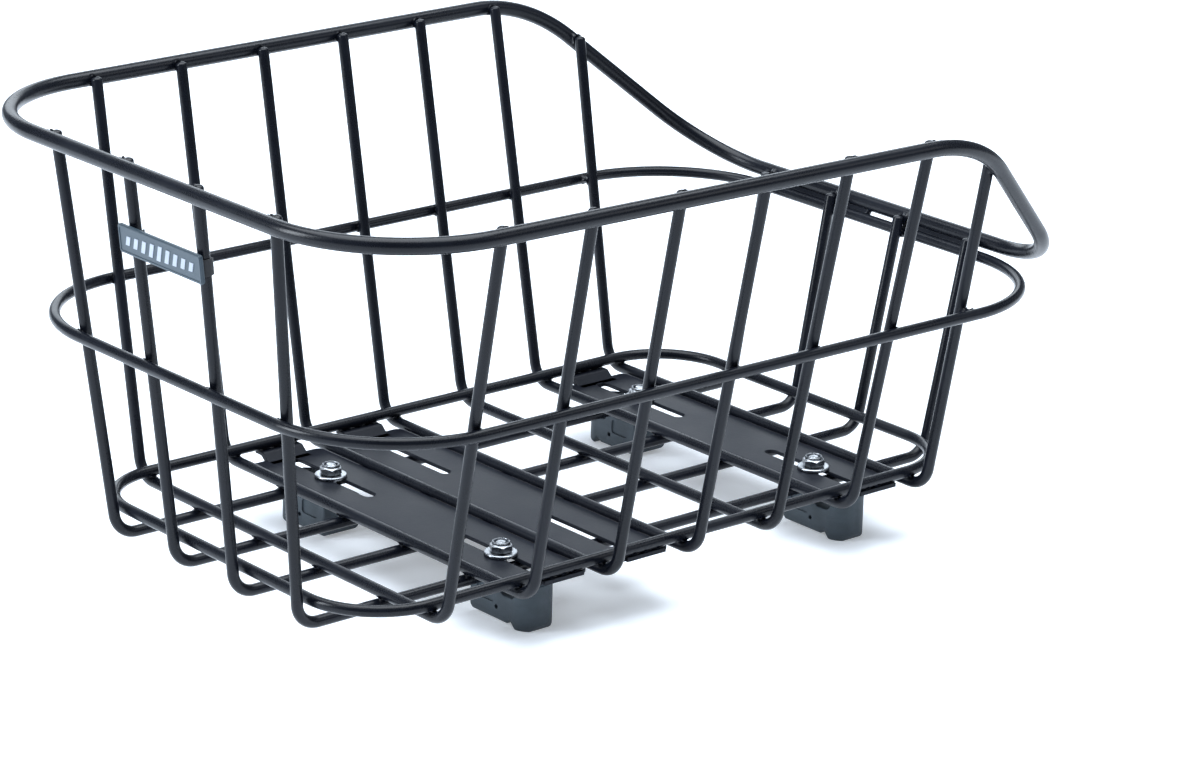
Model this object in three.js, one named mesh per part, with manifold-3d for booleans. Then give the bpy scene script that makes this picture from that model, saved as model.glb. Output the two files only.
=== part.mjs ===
// Wire basket for the rear carrier of a bicycle, in millimetres, +Z up.
// +X is the low front (saddle) end, -X the rear end with the badge.
// The origin lies under the middle of the basket, on the surface that its four clamps stand on.

import * as THREE from 'three';
import { mergeVertices } from 'three/addons/utils/BufferGeometryUtils.js';
import Module from 'manifold-3d';

const wasm = await Module();
wasm.setup();

// ---------------------------------------------------------------- driving dimensions

const WIRE_D = 5.6; // uprights, floor wires and both rings
const RIM_D = 7.8; // top tube
const GAP = 0.3; // clearance between neighbouring solids
const WIRE_R = WIRE_D / 2;
const RIM_R = RIM_D / 2;

const BASE_Z = 35; // centre of the base ring above the ground
const MIDDLE_Z = BASE_Z + 89.5;
const RIM_Z = BASE_Z + 185;
const FRONT_RIM_Z = BASE_Z + 96.6; // centre of the low front bar

// each ring: x of both ends, half width at both ends, corner radii at both ends
const BASE = { rear: -190.4, front: 184.6, rearHalf: 109.8, frontHalf: 109.8, rearR: 39, frontR: 39 };
const MIDDLE = { rear: -214.2, front: 221.2, rearHalf: 142.1, frontHalf: 146.8, rearR: 67, frontR: 67 };
const RIM = {
	rear: -225.8, rearHalf: 159.2, rearR: 68,
	shoulderX: 126, shoulderHalf: 167.4, shoulderR: 80, // where the tube starts to drop
	front: 225.8, frontHalf: 129.1, frontR: 54.4, // ends of the low front bar
};

const CROSS_COUNT = 7;
const CROSS_PITCH = 50;
const CROSS_FOOT = 120.4; // half distance between a cross wire's uprights at base ring height
const CROSS_FLOOR_Z = BASE_Z - WIRE_D - GAP;

const LONG_Y = [ 72.5, 23.5, - 23.5, - 72.5 ];
const LONG_REAR_Y = [ 84.7, 27, - 27, - 84.7 ]; // where the rear uprights meet the rim
const LONG_FRONT_Y = [ 74.5, 25, - 25, - 74.5 ];
const LONG_REAR_FOOT = 198;
const LONG_FRONT_FOOT = 197.6;
const LONG_FLOOR_Z = CROSS_FLOOR_Z - WIRE_D - GAP;

const BEND_R = 12; // centre-line radius of the floor bends
const WIRE_SIDES = 10;
const RIM_SIDES = 12;
const CAP_RISE = - 1.6; // wire ends stop this far from the level of the rim's top

const PLATE_T = 2;
const PLATE_Z = CROSS_FLOOR_Z - WIRE_R + PLATE_T / 2; // middle of the sheet, which lies on the long wires
const PLATE_TOP = PLATE_Z + PLATE_T / 2;
const PLATE_HALF_LENGTH = 104;
const PLATE_CORNER = 4;
const TAB = { half: 12, bend: 103, raised: 107, end: 112.4 }; // tongue at each plate end, welded under the base ring
const PLATE_BAYS = { rear: - 75, middle: - 25, front: 125 };
const BOLT_SLOT = { from: 32, to: 98, width: 6.6 };
const LIGHT_SLOT = { from: 36, to: 89, width: 5.6 };

const CLAMP_Y = 66; // bolt axis from the basket's centre line
const HOOK = {
	width: 22, inner: 57, outer: 97.4, top: BASE_Z - 14.9, bottom: 1.6, chamfer: 1.5,
	seatFrom: 78.8, seatTo: 90, seatZ: BASE_Z - 19.5, jawTop: BASE_Z - 11.6, noseR: 10,
};
const BOLT_R = 3;
const BOLT_TOP = BASE_Z;
const HEAD = { r: 5.4, height: 3.2, z: 3.4 };
const WASHER = { r: 8, height: 1.5 };
const NUT = { acrossFlats: 10, height: 4.8 };
const BORE_R = BOLT_R + GAP;

const BADGE = { z: BASE_Z + 149.3, width: 64, height: 14, thickness: 2, corner: 1.6 };
const CLIP = { wall: 1, back: 0.8 };
const SEAM = { depth: 3.4, thickness: 1.1 };
const SEAM_SPANS = [ [ 2, 70 ], [ - 70, - 23 ] ];

// ---------------------------------------------------------------- materials

const paint = () => new THREE.MeshStandardMaterial( { color: 0x17191b, roughness: 0.38, metalness: 0.2 } );
const sheetPaint = () => new THREE.MeshStandardMaterial( { color: 0x202326, roughness: 0.5, metalness: 0.2 } );
const nylon = () => new THREE.MeshStandardMaterial( { color: 0x3c4650, roughness: 0.7, metalness: 0 } );
const zinc = () => new THREE.MeshStandardMaterial( { color: 0xc9ccd0, roughness: 0.25, metalness: 1 } );
const badgeFace = () => new THREE.MeshStandardMaterial( { color: 0x66788a, roughness: 0.4, metalness: 0.1 } );
const clipPlastic = () => new THREE.MeshStandardMaterial( { color: 0x1c1f22, roughness: 0.7, metalness: 0 } );

// ---------------------------------------------------------------- helpers

const vec = ( x, y, z ) => new THREE.Vector3( x, y, z );

function toSolid( geometry ) {

	const bare = geometry.clone();
	bare.deleteAttribute( 'normal' );
	bare.deleteAttribute( 'uv' );
	const merged = mergeVertices( bare, 1e-4 );
	return new wasm.Manifold( new wasm.Mesh( {
		numProp: 3,
		vertProperties: merged.attributes.position.array,
		triVerts: new Uint32Array( merged.index.array ),
	} ) );

}

function toGeometry( solid ) {

	const mesh = solid.getMesh();
	const geometry = new THREE.BufferGeometry();
	geometry.setAttribute( 'position', new THREE.BufferAttribute( mesh.vertProperties, 3 ) );
	geometry.setIndex( new THREE.BufferAttribute( mesh.triVerts, 1 ) );
	geometry.computeVertexNormals();
	return geometry;

}

// A rod's centre line: straight runs joined by round bends, with sections only where they are needed.
class RodPath extends THREE.Curve {

	constructor( corners, radii, closed, bendSteps ) {

		super();
		this.closed = closed;
		this.stations = [];
		corners.forEach( ( corner, i ) => {

			const before = corners[ ( i + corners.length - 1 ) % corners.length ];
			const after = corners[ ( i + 1 ) % corners.length ];
			if ( ! closed && ( i === 0 || i === corners.length - 1 ) ) {

				const toward = i === 0 ? after.clone().sub( corner ) : corner.clone().sub( before );
				this.stations.push( { point: corner, tangent: toward.normalize() } );

			} else {

				this.addBend( before, corner, after, radii[ i ], bendSteps );

			}

		} );
		if ( closed ) this.stations.push( this.stations[ 0 ] );

	}

	addBend( before, corner, after, radius, steps ) {

		const arriving = corner.clone().sub( before ).normalize();
		const leaving = after.clone().sub( corner ).normalize();
		const turn = arriving.angleTo( leaving );
		const reach = radius * Math.tan( turn / 2 );
		const start = corner.clone().addScaledVector( arriving, - reach );
		const inward = leaving.clone().addScaledVector( arriving, - leaving.dot( arriving ) ).normalize();
		for ( let k = 0; k <= steps; k ++ ) {

			const angle = turn * k / steps;
			this.stations.push( {
				point: start.clone()
					.addScaledVector( arriving, radius * Math.sin( angle ) )
					.addScaledVector( inward, radius * ( 1 - Math.cos( angle ) ) ),
				tangent: arriving.clone().multiplyScalar( Math.cos( angle ) )
					.addScaledVector( inward, Math.sin( angle ) ),
			} );

		}

	}

	get steps() {

		return this.stations.length - 1;

	}

	getPointAt( u, target = new THREE.Vector3() ) {

		return target.copy( this.stations[ Math.round( u * this.steps ) ].point );

	}

	getTangentAt( u, target = new THREE.Vector3() ) {

		return target.copy( this.stations[ Math.round( u * this.steps ) ].tangent );

	}

	computeFrenetFrames( segments ) {

		return super.computeFrenetFrames( segments, this.closed );

	}

}

function polygonShape( radius, sides ) {

	const shape = new THREE.Shape();
	for ( let i = 0; i < sides; i ++ ) {

		const angle = 2 * Math.PI * i / sides;
		const x = radius * Math.cos( angle );
		const y = radius * Math.sin( angle );
		if ( i === 0 ) shape.moveTo( x, y );
		else shape.lineTo( x, y );

	}

	return shape;

}

function rodGeometry( path, radius, sides ) {

	const rod = new THREE.ExtrudeGeometry( polygonShape( radius, sides ), { steps: path.steps, extrudePath: path } );
	if ( ! path.closed ) return rod;
	const wall = rod.groups[ 1 ]; // a closed loop keeps its wall and has no end faces
	const positions = rod.attributes.position.array.slice( wall.start * 3, ( wall.start + wall.count ) * 3 );
	const loop = new THREE.BufferGeometry();
	loop.setAttribute( 'position', new THREE.BufferAttribute( positions, 3 ) );
	return mergeVertices( loop, 1e-4 );

}

function roundedRect( width, height, radius ) {

	const shape = new THREE.Shape();
	const x = width / 2;
	const y = height / 2;
	shape.moveTo( - x + radius, - y );
	shape.lineTo( x - radius, - y );
	shape.absarc( x - radius, - y + radius, radius, - Math.PI / 2, 0, false );
	shape.lineTo( x, y - radius );
	shape.absarc( x - radius, y - radius, radius, 0, Math.PI / 2, false );
	shape.lineTo( - x + radius, y );
	shape.absarc( - x + radius, y - radius, radius, Math.PI / 2, Math.PI, false );
	shape.lineTo( - x, - y + radius );
	shape.absarc( - x + radius, - y + radius, radius, Math.PI, 1.5 * Math.PI, false );
	return shape;

}

// A slot with round ends, along Y, between two distances from the centre line, on one side.
function slotHole( x, from, to, width, side ) {

	const r = width / 2;
	const low = Math.min( side * from, side * to ) + r;
	const high = Math.max( side * from, side * to ) - r;
	const hole = new THREE.Path();
	hole.moveTo( x + r, low );
	hole.lineTo( x + r, high );
	hole.absarc( x, high, r, 0, Math.PI, false );
	hole.lineTo( x - r, low );
	hole.absarc( x, low, r, Math.PI, 2 * Math.PI, false );
	return hole;

}

function flatGeometry( shape, thickness, curveSegments = 5 ) {

	const geometry = new THREE.ExtrudeGeometry( shape, { depth: thickness, bevelEnabled: false, curveSegments } );
	return geometry.translate( 0, 0, - thickness / 2 );

}

// A turned piece about Z, from a closed profile of [ radius, height ] points.
function turned( profile, segments ) {

	const points = profile.map( ( [ r, z ] ) => new THREE.Vector2( r, z ) );
	points.push( points[ 0 ].clone() );
	return new THREE.LatheGeometry( points, segments ).rotateX( Math.PI / 2 );

}

const basket = new THREE.Group();

function add( parent, name, geometry, material ) {

	const mesh = new THREE.Mesh( geometry, material );
	mesh.name = name;
	parent.add( mesh );
	return mesh;

}

// ---------------------------------------------------------------- rim tube and rings

function ringPath( ring, z, bendSteps ) {

	return new RodPath( [
		vec( ring.rear, - ring.rearHalf, z ),
		vec( ring.front, - ring.frontHalf, z ),
		vec( ring.front, ring.frontHalf, z ),
		vec( ring.rear, ring.rearHalf, z ),
	], [ ring.rearR, ring.frontR, ring.frontR, ring.rearR ], true, bendSteps );

}

const rimCorners = [
	vec( RIM.rear, - RIM.rearHalf, RIM_Z ),
	vec( RIM.shoulderX, - RIM.shoulderHalf, RIM_Z ),
	vec( RIM.front, - RIM.frontHalf, FRONT_RIM_Z ),
	vec( RIM.front, RIM.frontHalf, FRONT_RIM_Z ),
	vec( RIM.shoulderX, RIM.shoulderHalf, RIM_Z ),
	vec( RIM.rear, RIM.rearHalf, RIM_Z ),
];
const rimRadii = [ RIM.rearR, RIM.shoulderR, RIM.frontR, RIM.frontR, RIM.shoulderR, RIM.rearR ];
const rimPath = new RodPath( rimCorners, rimRadii, true, 8 );

add( basket, 'rim_tube', rodGeometry( rimPath, RIM_R, RIM_SIDES ), paint() );
add( basket, 'middle_ring', rodGeometry( ringPath( MIDDLE, MIDDLE_Z, 8 ), WIRE_R, WIRE_SIDES ), paint() );
add( basket, 'base_ring', rodGeometry( ringPath( BASE, BASE_Z, 7 ), WIRE_R, WIRE_SIDES ), paint() );

// Where the rim's far side passes a given x: its half width and height, between two stations.
function rimAt( x ) {

	const side = rimPath.stations.map( ( s ) => s.point ).filter( ( p ) => p.y > 0 );
	side.sort( ( a, b ) => a.x - b.x );
	const next = side.findIndex( ( p ) => p.x > x );
	const a = side[ next - 1 ];
	const b = side[ next ];
	return a.clone().lerp( b, ( x - a.x ) / ( b.x - a.x ) );

}

// ---------------------------------------------------------------- U-shaped wires

function wireEnd( foot, top ) {

	const direction = top.clone().sub( foot ).normalize();
	return top.clone().addScaledVector( direction, RIM_R + CAP_RISE );

}

// Point of the line from foot to top at height z.
function onLine( foot, top, z ) {

	return foot.clone().lerp( top, ( z - foot.z ) / ( top.z - foot.z ) );

}

const wireOffset = RIM_R + WIRE_R + GAP;

for ( let i = 0; i < CROSS_COUNT; i ++ ) {

	const x = ( i - ( CROSS_COUNT - 1 ) / 2 ) * CROSS_PITCH;
	const rim = rimAt( x );
	const drop = ( RIM_Z - rim.z ) / RIM_Z;
	const half = rim.y - wireOffset * ( 1 + 2 * drop );
	const ends = [ - 1, 1 ].map( ( side ) => {

		const foot = vec( x, side * CROSS_FOOT, BASE_Z );
		const top = vec( x, side * half, rim.z );
		return [ wireEnd( foot, top ), onLine( foot, top, CROSS_FLOOR_Z ) ];

	} );
	const path = new RodPath( [ ends[ 0 ][ 0 ], ends[ 0 ][ 1 ], ends[ 1 ][ 1 ], ends[ 1 ][ 0 ] ],
		[ 0, BEND_R, BEND_R, 0 ], false, 5 );
	add( basket, `cross_wire_${ i + 1 }`, rodGeometry( path, WIRE_R, WIRE_SIDES ), paint() );

}

for ( let i = 0; i < LONG_Y.length; i ++ ) {

	const rearFoot = vec( - LONG_REAR_FOOT, LONG_Y[ i ], BASE_Z );
	const rearTop = vec( RIM.rear + wireOffset, LONG_REAR_Y[ i ], RIM_Z );
	const frontFoot = vec( LONG_FRONT_FOOT, LONG_Y[ i ], BASE_Z );
	const frontTop = vec( RIM.front - wireOffset - 2.2, LONG_FRONT_Y[ i ], FRONT_RIM_Z );
	const path = new RodPath( [
		wireEnd( rearFoot, rearTop ),
		onLine( rearFoot, rearTop, LONG_FLOOR_Z ),
		onLine( frontFoot, frontTop, LONG_FLOOR_Z ),
		wireEnd( frontFoot, frontTop ),
	], [ 0, BEND_R, BEND_R, 0 ], false, 5 );
	add( basket, `long_wire_${ i + 1 }`, rodGeometry( path, WIRE_R, WIRE_SIDES ), paint() );

}

// ---------------------------------------------------------------- floor plates

const plateWidth = CROSS_PITCH - WIRE_D - 2 * GAP;

// The tongue rises from the sheet's level to the underside of the base ring.
function tabSolid( side ) {

	const t = PLATE_T / 2;
	const rise = BASE_Z - WIRE_R - GAP - PLATE_TOP;
	const profile = new THREE.Shape( [
		[ TAB.bend - 6, - t ], [ TAB.bend, - t ], [ TAB.raised, rise - t ], [ TAB.end, rise - t ],
		[ TAB.end, rise + t ], [ TAB.raised - 1, rise + t ], [ TAB.bend - 1, t ], [ TAB.bend - 6, t ],
	].map( ( [ y, z ] ) => new THREE.Vector2( y, z ) ) );
	const tab = flatGeometry( profile, 2 * TAB.half ).rotateX( Math.PI / 2 ).rotateZ( side * Math.PI / 2 );
	return toSolid( tab );

}

for ( const [ bay, x ] of Object.entries( PLATE_BAYS ) ) {

	const slot = bay === 'middle' ? LIGHT_SLOT : BOLT_SLOT;
	const outline = roundedRect( plateWidth, 2 * PLATE_HALF_LENGTH, PLATE_CORNER );
	outline.holes = [ - 1, 1 ].map( ( side ) => slotHole( 0, slot.from, slot.to, slot.width, side ) );
	const sheet = toSolid( flatGeometry( outline, PLATE_T ) ).add( tabSolid( 1 ) ).add( tabSolid( - 1 ) );
	const plate = add( basket, `floor_plate_${ bay }`, toGeometry( sheet ), sheetPaint() );
	plate.position.set( x, 0, PLATE_Z );

}

// ---------------------------------------------------------------- rail clamps

// Side profile of a hook, in the plane of distance from the centre line and height.
function hookProfile() {

	const h = HOOK;
	const shape = new THREE.Shape();
	shape.moveTo( h.inner, h.top );
	shape.lineTo( h.inner, h.bottom + h.chamfer );
	shape.lineTo( h.inner + h.chamfer, h.bottom );
	shape.lineTo( h.outer - 14, h.bottom );
	shape.lineTo( h.outer - 11, h.bottom + 2 );
	shape.lineTo( h.outer - 8, 0 );
	shape.lineTo( h.outer - 2.2, 0 );
	shape.lineTo( h.outer, 2.8 );
	shape.lineTo( h.outer, h.jawTop - 1.5 );
	shape.lineTo( h.outer - 1.5, h.jawTop );
	shape.lineTo( h.seatTo, h.jawTop );
	shape.lineTo( h.seatTo, h.seatZ + 2 );
	shape.lineTo( h.seatTo - 2, h.seatZ );
	shape.lineTo( h.seatFrom + 2, h.seatZ );
	shape.lineTo( h.seatFrom, h.seatZ + 2 );
	shape.lineTo( h.seatFrom, h.top );
	return shape;

}

// Plan outline of a hook: square at the inner end, round at the outer end.
function hookPlan() {

	const w = HOOK.width / 2;
	const shape = new THREE.Shape();
	shape.moveTo( HOOK.inner - 1, - w );
	shape.lineTo( HOOK.outer - HOOK.noseR, - w );
	shape.absarc( HOOK.outer - HOOK.noseR, - w + HOOK.noseR, HOOK.noseR, - Math.PI / 2, 0, false );
	shape.absarc( HOOK.outer - HOOK.noseR, w - HOOK.noseR, HOOK.noseR, 0, Math.PI / 2, false );
	shape.lineTo( HOOK.inner - 1, w );
	return shape;

}

// The hook's length runs along +X here, and its bolt axis is at x = CLAMP_Y.
function hookGeometry() {

	const side = new THREE.ExtrudeGeometry( hookProfile(), { depth: HOOK.width, bevelEnabled: false } );
	side.translate( 0, 0, - HOOK.width / 2 ).rotateX( Math.PI / 2 );
	const plan = new THREE.ExtrudeGeometry( hookPlan(), { depth: BASE_Z + 2, bevelEnabled: false, curveSegments: 5 } );
	plan.translate( 0, 0, - 1 );
	const bolt = turned( [ [ 0, - 1 ], [ HEAD.r + GAP, - 1 ], [ HEAD.r + GAP, HEAD.z + HEAD.height + GAP ],
		[ BORE_R, HEAD.z + HEAD.height + GAP ], [ BORE_R, BASE_Z ], [ 0, BASE_Z ] ], 20 );
	bolt.translate( CLAMP_Y, 0, 0 );
	return toGeometry( toSolid( side ).intersect( toSolid( plan ) ).subtract( toSolid( bolt ) ) );

}

function boltGeometry() {

	const top = BOLT_TOP;
	const shoulder = HEAD.z + HEAD.height;
	return turned( [ [ 0, HEAD.z ], [ HEAD.r - 0.8, HEAD.z ], [ HEAD.r, HEAD.z + 0.8 ], [ HEAD.r, shoulder ],
		[ BOLT_R, shoulder ], [ BOLT_R, top - 0.6 ], [ BOLT_R - 0.6, top ], [ 0, top ] ], 20 );

}

function washerGeometry() {

	const bottom = PLATE_TOP + GAP;
	const top = bottom + WASHER.height;
	return turned( [ [ BORE_R, bottom ], [ WASHER.r, bottom ], [ WASHER.r, top ], [ BORE_R, top ] ], 24 );

}

function nutGeometry() {

	const bottom = PLATE_TOP + WASHER.height + 2 * GAP;
	const hex = polygonShape( NUT.acrossFlats / Math.sqrt( 3 ), 6 );
	const hole = new THREE.Path();
	hole.absarc( 0, 0, BORE_R, 0, 2 * Math.PI, false );
	hex.holes = [ hole ];
	return flatGeometry( hex, NUT.height, 20 ).translate( 0, 0, bottom + NUT.height / 2 );

}

const clampPlaces = [
	[ 'rear_far', PLATE_BAYS.rear, 1 ],
	[ 'rear_near', PLATE_BAYS.rear, - 1 ],
	[ 'front_far', PLATE_BAYS.front, 1 ],
	[ 'front_near', PLATE_BAYS.front, - 1 ],
];

for ( const [ place, x, side ] of clampPlaces ) {

	const clamp = new THREE.Group();
	clamp.position.set( x, side * CLAMP_Y, 0 );
	clamp.rotation.z = side * Math.PI / 2;
	basket.add( clamp );
	add( clamp, `hook_${ place }`, hookGeometry().translate( - CLAMP_Y, 0, 0 ), nylon() );
	add( clamp, `bolt_${ place }`, boltGeometry(), zinc() );
	add( clamp, `washer_${ place }`, washerGeometry(), zinc() );
	add( clamp, `nut_${ place }`, nutGeometry(), zinc() );

}

// ---------------------------------------------------------------- badge and seams

// The rear uprights lean: their angle and their distance from the centre at the badge's height.
const rearLean = Math.atan2( ( - RIM.rear - wireOffset ) - LONG_REAR_FOOT, RIM_Z - BASE_Z );
const badgeStandoff = WIRE_R + CLIP.back + 2 * GAP + BADGE.thickness / 2;
const badgeX = - LONG_REAR_FOOT - Math.tan( rearLean ) * ( BADGE.z - BASE_Z ) - badgeStandoff;

const badgeMount = new THREE.Group();
badgeMount.position.set( badgeX, 0, BADGE.z );
badgeMount.rotation.y = - rearLean;
basket.add( badgeMount );

// Plate in the Y-Z plane of the badge mount, thin along X.
function badgeGeometry( width, height, thickness, corner ) {

	return flatGeometry( roundedRect( width, height, corner ), thickness, 4 ).rotateX( Math.PI / 2 ).rotateZ( Math.PI / 2 );

}

add( badgeMount, 'badge', badgeGeometry( BADGE.width, BADGE.height, BADGE.thickness, BADGE.corner ), badgeFace() );

// Each clip is a C round one upright, open to the inside of the basket.
function clipGeometry() {

	const inner = WIRE_R + GAP;
	const outer = inner + CLIP.wall;
	const mouth = 0.75;
	const shape = new THREE.Shape();
	shape.absarc( 0, 0, outer, mouth, 2 * Math.PI - mouth, false );
	shape.absarc( 0, 0, inner, 2 * Math.PI - mouth, mouth, true );
	return flatGeometry( shape, BADGE.height - 6, 14 );

}

const badgeUp = vec( - Math.sin( rearLean ), 0, Math.cos( rearLean ) );
[ 1, 2 ].forEach( ( wire ) => {

	const foot = vec( - LONG_REAR_FOOT, LONG_Y[ wire ], BASE_Z );
	const top = vec( RIM.rear + wireOffset, LONG_REAR_Y[ wire ], RIM_Z );
	const axis = top.clone().sub( foot ).normalize();
	const seat = onLine( foot, top, BADGE.z );
	const clip = toSolid( clipGeometry().applyQuaternion(
		new THREE.Quaternion().setFromUnitVectors( vec( 0, 0, 1 ), axis ) ).translate( seat.x, seat.y, seat.z ) );
	const cover = new THREE.BoxGeometry( 20, 30, 40 ).rotateY( - rearLean );
	const face = vec( badgeX, seat.y, BADGE.z ).addScaledVector( vec( - badgeUp.z, 0, badgeUp.x ),
		10 - BADGE.thickness / 2 - GAP );
	cover.translate( face.x, face.y, face.z );
	add( basket, `badge_clip_${ wire }`, toGeometry( clip.subtract( toSolid( cover ) ) ), clipPlastic() );

} );

// Filler strips between the low front bar and the middle ring under it.
const seamRise = FRONT_RIM_Z - MIDDLE_Z;
const seamRun = RIM.front - MIDDLE.front;
const seamTilt = Math.atan2( seamRun, seamRise );
const seamShare = ( WIRE_R + ( Math.hypot( seamRun, seamRise ) - WIRE_R - RIM_R ) / 2 ) / Math.hypot( seamRun, seamRise );

SEAM_SPANS.forEach( ( [ from, to ], i ) => {

	const strip = new THREE.BoxGeometry( SEAM.depth, to - from, SEAM.thickness );
	const seam = add( basket, `front_seam_${ i + 1 }`, strip, paint() );
	seam.position.set( MIDDLE.front + seamShare * seamRun, ( from + to ) / 2, MIDDLE_Z + seamShare * seamRise );
	seam.rotation.y = seamTilt;

} );

export default basket;
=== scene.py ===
"""Looks of a wire basket for a bicycle's rear carrier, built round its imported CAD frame.

Every rod is swept along the CAD centre line with fine round sections, the welds, sheets, clamps,
nuts and bolts get their small detail, and every surface gets a procedural finish.
Sizes below are in millimetres and turn into metres when a piece is finished.
"""

import math

import bmesh
import bpy
from mathutils import Matrix, Vector


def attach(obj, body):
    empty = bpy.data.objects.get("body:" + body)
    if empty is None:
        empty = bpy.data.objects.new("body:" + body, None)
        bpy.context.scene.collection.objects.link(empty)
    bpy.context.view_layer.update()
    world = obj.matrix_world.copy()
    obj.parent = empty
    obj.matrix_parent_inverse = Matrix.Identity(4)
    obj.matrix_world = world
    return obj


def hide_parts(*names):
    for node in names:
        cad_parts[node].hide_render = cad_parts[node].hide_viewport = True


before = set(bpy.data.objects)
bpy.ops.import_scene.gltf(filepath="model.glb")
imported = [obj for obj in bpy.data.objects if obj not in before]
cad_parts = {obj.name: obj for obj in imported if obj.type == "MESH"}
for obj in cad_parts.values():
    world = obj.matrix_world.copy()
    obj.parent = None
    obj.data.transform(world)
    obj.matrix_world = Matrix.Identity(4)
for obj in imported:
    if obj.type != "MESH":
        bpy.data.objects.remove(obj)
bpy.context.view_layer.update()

# ---------------------------------------------------------------- dimensions, as in the CAD source

MM = 0.001
WIRE_R = 2.8
RIM_R = 3.9
GAP = 0.3

BASE_Z = 35.0
MIDDLE_Z = BASE_Z + 89.5
RIM_Z = BASE_Z + 185.0
FRONT_RIM_Z = BASE_Z + 96.6

BASE = {"rear": -190.4, "front": 184.6, "rear_half": 109.8, "front_half": 109.8, "radius": 39.0}
MIDDLE = {"rear": -214.2, "front": 221.2, "rear_half": 142.1, "front_half": 146.8, "radius": 67.0}
RIM_REAR = (-225.8, 159.2, 68.0)
RIM_SHOULDER = (126.0, 167.4, 80.0)
RIM_FRONT = (225.8, 129.1, 54.4)

CROSS_X = [-150.0, -100.0, -50.0, 0.0, 50.0, 100.0, 150.0]
CROSS_FOOT = 120.4
CROSS_FLOOR_Z = BASE_Z - 2 * WIRE_R - GAP
LONG_Y = [72.5, 23.5, -23.5, -72.5]
LONG_REAR_Y = [84.7, 27.0, -27.0, -84.7]
LONG_FRONT_Y = [74.5, 25.0, -25.0, -74.5]
LONG_REAR_FOOT = 198.0
LONG_FRONT_FOOT = 197.6
LONG_FLOOR_Z = CROSS_FLOOR_Z - 2 * WIRE_R - GAP
BEND_R = 12.0
CAP_RISE = -1.6

PLATE_T = 2.0
PLATE_Z = CROSS_FLOOR_Z - WIRE_R + PLATE_T / 2
PLATE_TOP = PLATE_Z + PLATE_T / 2
PLATE_HALF_WIDTH = 21.9
PLATE_HALF_LENGTH = 104.0
PLATE_CORNER = 4.0
PLATE_BAYS = {"rear": -75.0, "middle": -25.0, "front": 125.0}
BOLT_SLOT = (32.0, 98.0, 6.6)
LIGHT_SLOT = (36.0, 89.0, 5.6)
TAB = {"half": 12.0, "bend": 103.0, "raised": 107.0, "end": 112.4}

CLAMP_Y = 66.0
HOOK = {"half": 11.0, "inner": 57.0, "outer": 97.4, "top": BASE_Z - 14.9, "bottom": 1.6, "chamfer": 1.5,
        "seat_from": 78.8, "seat_to": 90.0, "seat_z": BASE_Z - 19.5, "jaw_top": BASE_Z - 11.6, "nose": 10.0}
BOLT_R = 3.0
BOLT_TOP = BASE_Z
HEAD = {"r": 5.4, "height": 3.2, "z": 3.4}
WASHER_R = 8.0
WASHER_Z = PLATE_TOP + GAP
WASHER_T = 1.5
NUT_Z = WASHER_Z + WASHER_T + GAP
NUT_AF = 10.0
NUT_T = 4.8
PLACES = {
    "rear_far": (-75.0, 1),
    "rear_near": (-75.0, -1),
    "front_far": (125.0, 1),
    "front_near": (125.0, -1),
}

BADGE = {"z": BASE_Z + 149.3, "width": 64.0, "height": 14.0, "thickness": 2.0, "corner": 1.6}
CLIP = {"wall": 1.0, "back": 0.8}
SEAM = {"depth": 3.4, "thickness": 1.1}
SEAM_FILL = 1.5
RIM_INSET = 0.04
WELD_DEPTH = 0.9
SHEET_EDGE = 0.38
SEAM_SPANS = [(2.0, 70.0), (-70.0, -23.0)]

# ---------------------------------------------------------------- material helpers


def new_material(name):
    """A node material: itself, its tree, its principled shader and texture coordinates in millimetres."""
    material = bpy.data.materials.new(name)
    material.use_nodes = True
    tree = material.node_tree
    shader = tree.nodes["Principled BSDF"]
    coords = tree.nodes.new("ShaderNodeTexCoord")
    scale = tree.nodes.new("ShaderNodeVectorMath")
    scale.operation = "SCALE"
    scale.inputs["Scale"].default_value = 1 / MM
    tree.links.new(coords.outputs["Object"], scale.inputs[0])
    return material, tree, shader, scale.outputs[0]


def noise(tree, vector, size, detail=2.0, roughness=0.5):
    """Noise whose blobs are about size millimetres across."""
    node = tree.nodes.new("ShaderNodeTexNoise")
    node.inputs["Scale"].default_value = 1 / size
    node.inputs["Detail"].default_value = detail
    node.inputs["Roughness"].default_value = roughness
    tree.links.new(vector, node.inputs["Vector"])
    return node.outputs["Fac"]


def stretched(tree, vector, factors):
    """Coordinates multiplied per axis, for marks that run one way."""
    node = tree.nodes.new("ShaderNodeVectorMath")
    node.operation = "MULTIPLY"
    node.inputs[1].default_value = factors
    tree.links.new(vector, node.inputs[0])
    return node.outputs[0]


def ramp(tree, value, *stops):
    """Colours, or grey levels, at positions along value."""
    node = tree.nodes.new("ShaderNodeValToRGB")
    elements = node.color_ramp.elements
    while len(elements) < len(stops):
        elements.new(0.5)
    for element, (position, colour) in zip(elements, stops):
        element.position = position
        element.color = (*colour, 1) if isinstance(colour, tuple) else (colour, colour, colour, 1)
    tree.links.new(value, node.inputs["Fac"])
    return node.outputs["Color"]


def combine(tree, operation, a, b):
    node = tree.nodes.new("ShaderNodeMath")
    node.operation = operation
    for socket, value in zip(node.inputs, (a, b)):
        if isinstance(value, (int, float)):
            socket.default_value = value
        else:
            tree.links.new(value, socket)
    return node.outputs[0]


def bump(tree, shader, height, distance, strength=1.0):
    """Relief of the given height in millimetres."""
    node = tree.nodes.new("ShaderNodeBump")
    node.inputs["Strength"].default_value = strength
    node.inputs["Distance"].default_value = distance * MM
    tree.links.new(height, node.inputs["Height"])
    tree.links.new(node.outputs["Normal"], shader.inputs["Normal"])


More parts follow.
